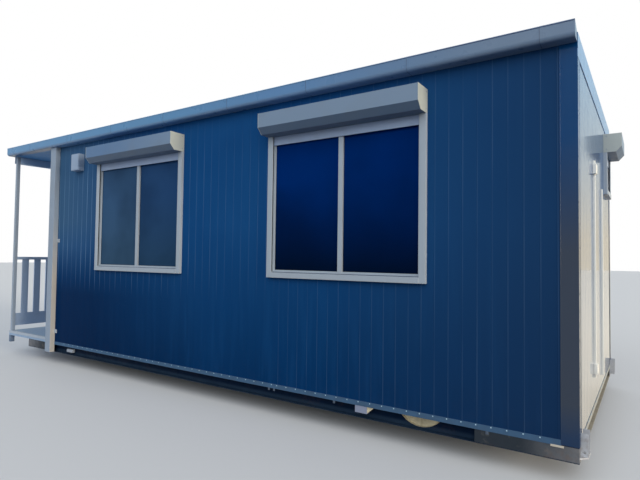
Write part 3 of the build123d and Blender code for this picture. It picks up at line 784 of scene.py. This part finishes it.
def shutter_guides(name):
    """Side guides with lips and brushes, a sloping sill between their feet, and the bottom slat."""
    u0, u1, z0, _ = WINDOWS[name]
    h0, h1, base, _, _ = hood_range(name)
    inner0, inner1 = h0 + GUIDE_WIDTH, h1 - GUIDE_WIDTH
    foot, top = z0 - SILL_HEIGHT, base - 0.5
    rails = Unit(name)
    lips = ends(inner0 - 1, inner1 + 1, 6)
    for behind, guide, lip in zip(((h0, u0), (u1, h1)), ends(h0, h1, GUIDE_WIDTH), lips):
        rails.bar(behind, (0.0, 6), (foot, top))
        rails.bar(guide, (4.2, 32), (foot, top), 2.2)
        for out in ((6, 11), (25, 30)):
            rails.bar(lip, out, (z0 + 4, top), 0.8, 1)
    sill = [(0, foot), (0, z0), (30, z0), (38, z0 - 4), (38, foot)]
    rails.prism(sill, rails.place, inner0, inner1, 1.2)
    rails.done(name + "_guide_rails", FRAME_METAL, "shutter_metal", (name + "_shutter_guides",))

    brushes = Unit(name)
    for u in ends(inner0 - 0.5, inner1 + 0.5, 3):
        brushes.bar(u, (13, 23), (z0 + 6, top))
    brushes.done(name + "_guide_brushes", GASKET)

    joint = Unit(name)
    joint.bar((inner0 + 1, inner1 - 1), (4.4, 8), (z0 + 0.4, z0 + 4.4), 0.6, 1)
    joint.done(name + "_sill_joint", SEAM)

    slat_low = spans(name + "_shutter_slat")[2][0]
    slat = Unit(name)
    slat.bar((inner0 + 1.5, inner1 - 1.5), (5.0, 14.6), (slat_low + 9, base - 0.4), 2.0)
    slat.bar((inner0 + 1.5, inner1 - 1.5), (4.6, 16.0), (slat_low, slat_low + 12), 2.4)
    slat.done(name + "_bottom_slat", LIT_SLAT, "shutter_metal", (name + "_shutter_slat",))


# Base strips and corner flashings

def rivet_row(piece, a0, a1, pitch, place, out, radius, height):
    """Heads spread evenly from a0 to a1, where place(a) gives the layout point."""
    count = round((a1 - a0) / pitch) + 1
    for i in range(count):
        piece.dome(place(a0 + (a1 - a0) * i / (count - 1)), out, radius, height)


def strip_fixings():
    """Rivets along the strips, and the short tails in which they end round the corners."""
    rivets = Piece()
    level = STRIP_TOP - 9
    for a in LONG_GROOVES[2:-1]:
        for y, sign in SIDES:
            rivets.dome((ROOM_END - a, y + sign * SKIN, level), (0, sign, 0), 4.6, 2.2)
    rivet_row(rivets, 160, REAR - 160, 190, lambda a: (ROOM_END + SKIN, a, level), (1, 0, 0), 5.0, 2.4)
    rivets.done("strip_rivets", RIVET, "hardware")

    tails = Piece()
    for y, sign in SIDES:
        depth = sorted((y + sign * 4.8, y + sign * 3.1))
        tails.box((ROOM_END - 163, ROOM_END - 86), depth, (STRIP_LOW - 11, STRIP_LOW + 3), 0.7, 1)
    tails.done("strip_tails", TAIL, "grey_trim")


def flashing_fixings():
    """Two rows of rivets up each leg of the end wall's corner flashings, and the legs' folded hems."""
    rivets = Piece()
    rows = (12, 88)
    bottom, top, pitch = BASE + 80, FRONT_TOP - 150, 300
    for y, sign in SIDES:
        for inset in rows:
            spot = (ROOM_END - inset, y + sign * SKIN)
            rivet_row(rivets, bottom, top, pitch, lambda a: (*spot, a), (0, sign, 0), 3.4, 1.4)
        for inset in rows:
            spot = (ROOM_END + SKIN, y - sign * inset)
            rivet_row(rivets, bottom, top, pitch, lambda a: (*spot, a), (1, 0, 0), 3.4, 1.4)
    rivets.done("flashing_rivets", BLUE_FLASHING, "blue_panel")

    hems = Piece()
    for y, sign in SIDES:
        depth = sorted((y + sign * 0.2, y + sign * 3.7))
        top = FRONT_TOP - 1 if sign < 0 else roof_low(REAR) - 92
        hems.box((ROOM_END - 104, ROOM_END - 98), depth, (BASE + 1, top), 1.2, 1)
    for y in (98, REAR - 104):
        hems.box((ROOM_END + 0.2, ROOM_END + 3.7), (y, y + 6), (BASE + 1, FRONT_TOP - 92), 1.2, 1)
    hems.done("flashing_hems", BLUE_FLASHING, "blue_panel")


# Gutter: joint sleeves, their seams, the rolled lip, and the end capping's edge beside it

(GUTTER_START, GUTTER_END), (GUTTER_FACE, _), (GUTTER_LOW, GUTTER_TOP) = spans("front_gutter")
GUTTER_BEND = 31.0
BEND_STEPS = 8
BAND_BACK = -4.0
LIP_RADIUS = 5.5
FIRST_JOINT, JOINT_PITCH, LAST_JOINT = 190, 910, 150


def gutter_line(grow):
    """Outside of the gutter's section as (y, z) points, from the top of its face round to the back."""
    foot = GUTTER_LOW - grow
    front = GUTTER_FACE - grow
    radius = GUTTER_BEND + grow
    points = [(front, GUTTER_TOP)]
    for i in range(BEND_STEPS + 1):
        turn = math.pi / 2 * i / BEND_STEPS
        points.append((front + radius - radius * math.cos(turn), foot + radius - radius * math.sin(turn)))
    return points + [(BAND_BACK, foot)]


def gutter_band(piece, x0, x1, grow):
    outline = gutter_line(grow) + gutter_line(-0.4)[::-1]
    piece.prism(outline, lambda u, v, w: (w, u, v), x0, x1)


def gutter_fittings():
    joints = []
    x = ROOM_END - FIRST_JOINT
    while x > GUTTER_START + LAST_JOINT:
        joints.append(x)
        x -= JOINT_PITCH

    sleeves = Piece()
    for x in joints:
        gutter_band(sleeves, x - 13, x + 13, 0.9)
        sleeves.box((x - 9, x + 9), (GUTTER_FACE + 2, GUTTER_FACE + 40), (GUTTER_TOP - 3.5, GUTTER_TOP),
                    0.6, 1)
    sleeves.done("gutter_sleeves", GUTTER, "grey_trim")

    seams = Piece()
    for x in joints:
        gutter_band(seams, x - 14.5, x - 11.5, 1.3)
    seams.done("gutter_seams", SEAM, "grey_trim")

    roll = Piece()
    y, z = GUTTER_FACE + 2, GUTTER_TOP - LIP_RADIUS
    roll.tube((GUTTER_START + 1, y, z), (GUTTER_END - 1, y, z), LIP_RADIUS, 14)
    roll.done("gutter_lip_roll", LIP, "grey_trim")

    edge = Piece()
    edge.box((ROOM_END - 15, ROOM_END + 3.5), (-2.6, 0.4), (FRONT_TOP - 40, FRONT_TOP + 61), 0.8, 1)
    edge.done("capping_front_edge", BLUE_FLASHING, "blue_panel")


# Roof: the cappings' screws, and the sheet's ribs, which run with the fall

RIB_SPACES = 24
ROOF_EDGE = 60


def capping_screws():
    screws = Piece()
    for lift in (-40, 34):
        rivet_row(screws, 120, REAR - 120, 460, lambda a: (ROOM_END + 4, a, roof_low(a) + lift),
                  (1, 0, 0), 4.6, 2.2)
    side, top = roof_low(REAR) - 40, roof_low(REAR - 30) + 62.4
    rivet_row(screws, 120, ROOM_END - 120, 600, lambda a: (a, REAR + 4, side), (0, 1, 0), 4.6, 2.2)
    rivet_row(screws, 120, ROOM_END - 120, 600, lambda a: (a, REAR - 30, top), (0, 0, 1), 4.6, 2.2)
    screws.done("capping_screws", STEEL, "hardware")


def roof_ribs():
    ribs = Piece()
    for i in range(1, RIB_SPACES):
        x = ROOF_EDGE + (ROOM_END - 2 * ROOF_EDGE) * i / RIB_SPACES
        section = [(x - 22, -0.5), (x - 12, 10.4), (x + 12, 10.4), (x + 22, -0.5)]
        ribs.prism(section, lambda u, v, w: (u, w, roof_low(w) + ROOF_THICKNESS + v), 3.0, REAR - 61)
    ribs.done("roof_ribs", ROOF, "grey_trim")


# Veranda: posts, balustrades and deck edging

POST_X = spans("corner_posts")[0]
POST_REACH = 60
OUTER_POST = 42.0
BOARD, LEAST_GAP = 88, 78


def corner_posts():
    """Each has an outer part that runs down past the rail with a plate under it, and an inner part."""
    x0, x1 = POST_X
    posts = Piece()
    for y, sign in SIDES:
        out = y + sign * POST_REACH
        top = FRONT_TOP if sign < 0 else roof_low(REAR) - 91
        posts.box(POST_X, sorted((out, y)), (RAIL_LOW, top), 3.0)
        a, b = sorted((y - sign * 0.5, y - sign * POST_REACH))
        top = min(roof_low(a), roof_low(b)) - 0.5
        posts.box((x0 + 0.3, x1 - 0.3), (a, b), (BASE, top), 2.0)
        a, b = sorted((out, out - sign * 46))
        posts.box((x0 + 8, x1 - 8), (a + 3, b - 3), (RAIL_LOW, RAIL_LOW + 5), 1.0, 1)
    # The faces towards the end wall get the painted sunlit coat.
    posts.done("corner_posts_dressed", POST, "grey_trim", ("corner_posts",), second=POST_SUNLIT_SIDE,
               towards=(1, 0, 0))


def outer_posts():
    """Square posts, each between a foot plate and a head plate, and their screws and bolts."""
    (x0, x1), _, (z0, _) = spans("veranda_outer_posts")
    posts = Piece()
    for y, plate in (((0.0, OUTER_POST), (1, OUTER_POST + 26)),
                     ((REAR - OUTER_POST, REAR), (REAR - OUTER_POST - 26, REAR - 1))):
        top = roof_low(y[0])
        posts.box((x0, x1), y, (z0, top - 0.3), 2.5)
        posts.box((x0 + 0.5, x1 + 26), plate, (z0, z0 + 4), 1.0, 1)
        posts.box((x0 + 0.5, x1 + 20), plate, (top - 4.5, top - 0.5), 1.0, 1)
    posts.done("outer_posts_dressed", POST, "grey_trim", ("veranda_outer_posts",))

    fixings = Piece()
    for y in (OUTER_POST + 14, REAR - OUTER_POST - 14):
        for x in (x0 + 9, x0 + 31):
            fixings.dome((x, y, z0 + 4), (0, 0, 1), 4.5, 3.0)
    header_low = spans("veranda_header")[2][0]
    for z in (header_low + 22, header_low + 72):
        for y in (68, REAR - 68):
            fixings.dome((x0, y, z), (-1, 0, 0), 4.5, 2.4)
            fixings.dome((x1, y, z), (1, 0, 0), 4.5, 2.4)
    fixings.done("post_fixings", STEEL, "hardware")


def fence(node, along):
    """Separate boards in place of the fused panel, with blocks at their feet and screws."""
    xs, ys, (z0, z1) = spans(node)
    (a0, a1), across = (ys, xs) if along == "y" else (xs, ys)
    mid = sum(across) / 2
    length = a1 - a0
    count = int((length - LEAST_GAP) / (BOARD + LEAST_GAP))
    gap = (length - count * BOARD) / (count + 1)
    starts = [a0 + gap + i * (BOARD + gap) for i in range(count)]

    def turned(across, a, z):
        return (across, a, z) if along == "y" else (a, across, z)

    def board(piece, a, w, z, bevel):
        piece.box(*turned((mid + w[0], mid + w[1]), a, z), bevel)

    boards = Piece()
    board(boards, (a0, a1), (-21, 21), (z1 - 40, z1), 4.0)
    board(boards, (a0, a1), (-9, 9), (z0, z0 + 172), 2.5)
    for a in starts:
        board(boards, (a, a + BOARD), (-9, 9), (z0 + 168, z1 - 38), 2.5)
        board(boards, (a + 6, a + BOARD - 6), (-13, -8.6), (z0 + 150, z0 + 166), 1.0)
    boards.done(node + "_boards", FENCE, "grey_trim", (node,))

    screws = Piece()
    for a in starts:
        for z in (z0 + 186, z1 - 56):
            for side in (-1, 1):
                screws.dome(turned(mid + side * 9, a + BOARD / 2, z), turned(side, 0, 0), 3.6, 1.6)
    screws.done(node + "_screws", STEEL, "hardware")


def deck_edging():
    """Angle strips along the deck's front and outer edges, and their screws."""
    start, front_end = spans("veranda_deck")[0][0] + 2, POST_X[0] - 1
    strips = Piece()
    strips.box((start, front_end), (-3.2, 28), (DECK_TOP - 0.4, DECK_TOP + 2.4), 0.9, 1)
    strips.box((start, front_end), (-3.2, -0.2), (DECK_TOP - 30, DECK_TOP + 1), 0.6, 1)
    strips.box((-3.2, 26), (-1, REAR), (DECK_TOP - 0.4, DECK_TOP + 2.0), 0.9, 1)
    strips.box((-3.2, -0.2), (-1, REAR), (DECK_TOP - 30, DECK_TOP + 1), 0.6, 1)
    strips.done("deck_edging", TRIM, "grey_trim")

    screws = Piece()
    for x in range(90, int(POST_X[0]), 180):
        screws.dome((x, -3.2, DECK_TOP - 20), (0, -1, 0), 3.4, 1.4)
    for y in range(120, int(REAR), 240):
        screws.dome((-3.2, y, DECK_TOP - 20), (-1, 0, 0), 3.4, 0.8)
    screws.done("deck_edge_screws", STEEL, "hardware")


# Chassis fittings

TABS_FROM_END = (556, 1772, 2395, 2452)
PAD_FROM_END = 5661
FIRST_JOIST, JOIST_PITCH = 50, 723.3


def rail_tabs():
    """Short tabs that hang from the front strip, each with a rivet."""
    tabs = Piece()
    for x in [ROOM_END - a for a in TABS_FROM_END]:
        tabs.box((x - 10, x + 10), (-2.6, 0.4), (STRIP_LOW - 22, STRIP_LOW + 4), 1.0, 1)
        tabs.dome((x, -2.6, STRIP_LOW - 12), (0, -1, 0), 4.2, 2.4)
    tabs.done("rail_tabs", TAB, "galvanised")


# A pale triangular plate beside the packer, shaped as the sunlit patch on its side: painted sunlight.
def packer_sunlit_patch():
    (_, x), _, (z0, z1) = spans("rail_packer")
    gusset = Piece()
    gusset.prism([(x, z0 + 4), (x, z1 - 1), (x + 56, z1 - 1), (x + 50, z1 - 12)],
                 lambda u, v, w: (u, w, v), 6, 11, 0.8)
    gusset.done("packer_sunlit_patch", SUNLIT_POCKET, "pocket_steel")


def weld_beads():
    """Upright beads inside the long rails, where the joists meet them."""
    beads = Piece()
    rail_start = spans("chassis_front_rail")[0][0]
    for x in [rail_start + FIRST_JOIST + JOIST_PITCH * i for i in range(1, 9)]:
        for y in (46, REAR - 46):
            beads.tube((x, y, RAIL_LOW + 8), (x, y, RAIL_TOP - 8), 3.6, 8)
    beads.done("rail_weld_beads", SHADED_ZINC, "galvanised")


def rail_pad():
    x = ROOM_END - PAD_FROM_END
    pad = Piece()
    pad.box((x - 62, x + 62), (3, 44), (RAIL_LOW + 26, RAIL_LOW + 66), 9.0)
    pad.box((x - 36, x + 36), (1, 6), (RAIL_LOW + 34, RAIL_LOW + 58), 2.0)
    for side in (-48, 48):
        pad.dome((x + side, 3, RAIL_LOW + 46), (0, -1, 0), 6.0, 2.6)
    pad.done("rail_pad", PAD, "galvanised")


def support_timbers():
    """Each block as two layers of two timbers side by side, the upper ones a little narrower."""
    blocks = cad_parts["support_blocks"]
    corners = [(blocks.matrix_world @ v.co - ORIGIN) * 1000 for v in blocks.data.vertices]
    xs = sorted({round(q.x, 1) for q in corners})
    ys = sorted({round(q.y, 1) for q in corners})
    top = spans("support_blocks")[2][1]
    joint = top / 2 - 0.5
    timbers = Piece()
    for x0, x1 in zip(xs[0::2], xs[1::2]):
        for y0, y1 in zip(ys[0::2], ys[1::2]):
            half = (x1 - x0) / 2
            for a in (x0, x0 + half):
                timbers.box((a + 1, a + half - 1.5), (y0, y1), (0, joint), 3.0)
            for a in (x0, x0 + half):
                timbers.box((a + 1.5, a + half - 1.5), (y0 + 4, y1 - 4), (joint, top), 3.0)
    timbers.done("support_timbers", SHADED_TIMBER, "timber", ("support_blocks",))


# Vent box, trunking and door fittings

LOUVRES, LOUVRE_PITCH = 5, 30
RUN_HALF = 12.5
BOX_HALF, BOX_HEIGHT = 35, 78
BOX_LEVELS = (BASE + 1840, BASE + 265)
LOCK_HEIGHT = 930


def vent_box():
    (x0, x1), (y0, y1), (z0, z1) = spans("vent_box")
    cover = Piece()
    cover.box((x0, x1), (y0 + 6, y1), (z0, z1), 3.0)
    cover.box((x0 + 5, x1 - 5), (y0, y0 + 8), (z0 + 5, z1 - 5), 4.0)
    for i in range(LOUVRES):
        z = z0 + 36 + i * LOUVRE_PITCH
        cover.prism([(x1 - 0.5, z), (x1 + 2.2, z - 3), (x1 + 2.2, z - 5), (x1 - 0.5, z - 6)],
                    lambda u, v, w: (u, w, v), y0 + 22, y1 - 16)
    cover.done("vent_box_cover", VENT, "white_plastic", ("vent_box",))


def trunking():
    """Two upright runs on the end wall, and two boxes with lids on the first of them."""
    _, (y0, y1), (z0, z1) = spans("end_wall_trunking")
    first, second = y0 + BOX_HALF, y1 - RUN_HALF
    window_foot = spans("right_end_shutter_guides")[2][0]
    covers = Piece()
    for y, z in ((first, (BASE + 235, z1)), (second, (z0, window_foot))):
        covers.box((ROOM_END, ROOM_END + 16), (y - RUN_HALF, y + RUN_HALF), z, 1.6)
    for z in BOX_LEVELS:
        for x0, x1, inset in ((0, 27, 0), (6, 28, 3)):
            half, level = BOX_HALF - inset, (z + inset, z + BOX_HEIGHT - inset)
            covers.box((ROOM_END + x0, ROOM_END + x1), (first - half, first + half), level, 3.0)
    covers.done("trunking_covers", WHITE, "white_plastic", ("end_wall_trunking",))

    screws = Piece()
    for z in BOX_LEVELS:
        for y in (first - 24, first + 24):
            for level in (z + 12, z + BOX_HEIGHT - 12):
                screws.dome((ROOM_END + 28, y, level), (1, 0, 0), 3.2, 1.2)
    screws.done("trunking_screws", STEEL, "hardware")


def door_fittings():
    """Round lock and kick plate on the leaf, and the threshold before it."""
    (x, _), (y0, y1), (z0, _) = spans("door_leaf")
    lock_y, lock_z = y1 - 65, z0 + LOCK_HEIGHT
    plates = Piece()
    plates.tube((x - 6, lock_y, lock_z), (x + 1, lock_y, lock_z), 15, 20, 1.5)
    plates.tube((x - 9, lock_y, lock_z), (x - 5, lock_y, lock_z), 8, 16, 1.0)
    plates.box((x - 1.5, x + 0.4), (y0 + 20, y1 - 20), (z0 + 12, z0 + 108), 0.5, 1)
    plates.done("door_lock_and_kick_plate", STEEL, "hardware")

    threshold = Piece()
    threshold.box((x - 70, x - 0.5), (y0 - 3, y1 + 3), (DECK_TOP, DECK_TOP + 3), 1.0, 1)
    threshold.done("door_threshold", STEEL, "hardware")


walls()
for name in WINDOWS:
    window_bars(name)
    glazing_gaskets(name)
    shutter_hood(name)
    shutter_guides(name)
    dress(GLASS, name + "_window_glass")
strip_fixings()
flashing_fixings()
gutter_fittings()
capping_screws()
roof_ribs()
corner_posts()
outer_posts()
fence("veranda_end_balustrade", "y")
fence("veranda_rear_balustrade", "x")
deck_edging()
rail_tabs()
packer_sunlit_patch()
weld_beads()
rail_pad()
support_timbers()
vent_box()
trunking()
door_fittings()


# Materials of the nodes that stay

dress(SUNLIT_END_RAIL, "chassis_right_end_rail")
dress(SHADED_ZINC, "chassis_front_rail", "chassis_rear_rail", "chassis_left_end_rail", "chassis_joists")
dress(FOOT, "deck_feet")
dress(ZINC_PALE, "chassis_corner_plates")
dress(BRACKET, "lifting_brackets")
dress(SUNLIT_POCKET, "sling_pocket")
dress(PACKER, "rail_packer")
dress(FLOOR_IN, "floor_panel")
dress(BLUE_FLASHING, "corner_flashings")
dress(STRIP_BLUE, "base_strips")
dress(ROOF, "roof_panel")
dress(GUTTER, "front_gutter")
dress(CAPPING, "rear_capping", "right_end_capping", "left_end_capping")
dress(LIT_HEADER, "veranda_header")
dress(TRIM, "post_cleats", "door_frame")
dress(DECK, "veranda_deck", "veranda_deck_frame")
dress(DOOR, "door_leaf")
dress(STEEL, "door_handle", "door_hinges")


# Floor, light and camera

PHOTO_WIDTH, FOCAL_PIXELS, SENSOR_WIDTH = 640.0, 494.46, 36.0
YAW, PITCH, ROLL = 0.5863416, 0.0354996, 0.0128632
# Metres from the room's lower front corner at the end wall, under the front rail
CAMERA_FROM_CORNER = (0.3622, -3.4493, 1.2486)


def stage_floor():
    """A pale floor that throws little light back up."""
    bpy.ops.mesh.primitive_plane_add(size=160, location=(0, 0, 0))
    o = bpy.context.object
    o.name = "studio_floor"
    k = Look("studio_floor_grey", (88, 90, 94), 0.9, specular=0.1)
    k.tint((190, 204, 224), ("X", -1.6, -3.0))
    k.blend(k.seen_directly(), (214, 216, 220))
    k.blend(k.ray("Is Glossy Ray"), (255, 246, 230))
    o.data.materials.append(k.material)


def world_light():
    """White behind the cabin, soft light round it, and in its gloss warm low down and blue above."""
    world = bpy.data.worlds.new("studio_world")
    bpy.context.scene.world = world
    world.use_nodes = True
    world.node_tree.nodes.clear()
    w = Nodes(world.node_tree, "Generated")
    tones = w.mixed(w.ranged("Z", 0.04, 0.34), (0.85, 0.76, 0.58, 1), (0.65, 0.86, 1.0, 1))
    colour = w.mixed(w.ray("Is Glossy Ray"), (1, 1, 1, 1), tones)
    direct = w.add("ShaderNodeBackground", {"Color": colour, "Strength": 1.0}, 0)
    soft = w.add("ShaderNodeBackground", {"Color": (0.90, 0.95, 1.0, 1), "Strength": 0.55}, 0)
    mix = w.add("ShaderNodeMixShader", {0: w.seen_directly(), 1: soft, 2: direct}, 0)
    w.fill(w.tree.nodes.new("ShaderNodeOutputWorld"), {0: mix})


def sun(name, towards, strength, spread, colour):
    lamp = bpy.data.lights.new(name, "SUN")
    lamp.energy = strength
    lamp.angle = math.radians(spread)
    lamp.color = colour
    o = bpy.data.objects.new(name, lamp)
    o.rotation_euler = Vector(towards).to_track_quat("-Z", "Y").to_euler()
    bpy.context.scene.collection.objects.link(o)


def camera():
    """The camera that was fitted to the photo."""
    ahead = Vector((-math.sin(YAW) * math.cos(PITCH), math.cos(YAW) * math.cos(PITCH), math.sin(PITCH)))
    flat = Vector((math.cos(YAW), math.sin(YAW), 0))
    over = flat.cross(ahead)
    right = math.cos(ROLL) * flat + math.sin(ROLL) * over
    up = -math.sin(ROLL) * flat + math.cos(ROLL) * over
    corner = Vector((high("front_wall").x, low("front_wall").y, low("chassis_front_rail").z))
    data = bpy.data.cameras.new("camera")
    data.sensor_width = SENSOR_WIDTH
    data.sensor_fit = "HORIZONTAL"
    data.lens = FOCAL_PIXELS * SENSOR_WIDTH / PHOTO_WIDTH
    data.clip_end = 500
    o = bpy.data.objects.new("camera", data)
    m = Matrix((right, up, -ahead)).transposed().to_4x4()
    m.translation = corner + Vector(CAMERA_FROM_CORNER)
    o.matrix_world = m
    bpy.context.scene.collection.objects.link(o)
    bpy.context.scene.camera = o


stage_floor()
world_light()
sun("key_from_the_right", (-0.95, 0.07, -0.16), 3.1, 24, (1.0, 0.88, 0.7))
sun("fill_from_the_front", (-0.25, 0.85, -0.52), 1.4, 60, (0.92, 0.97, 1.0))
camera()
bpy.context.scene.view_settings.view_transform = "Standard"
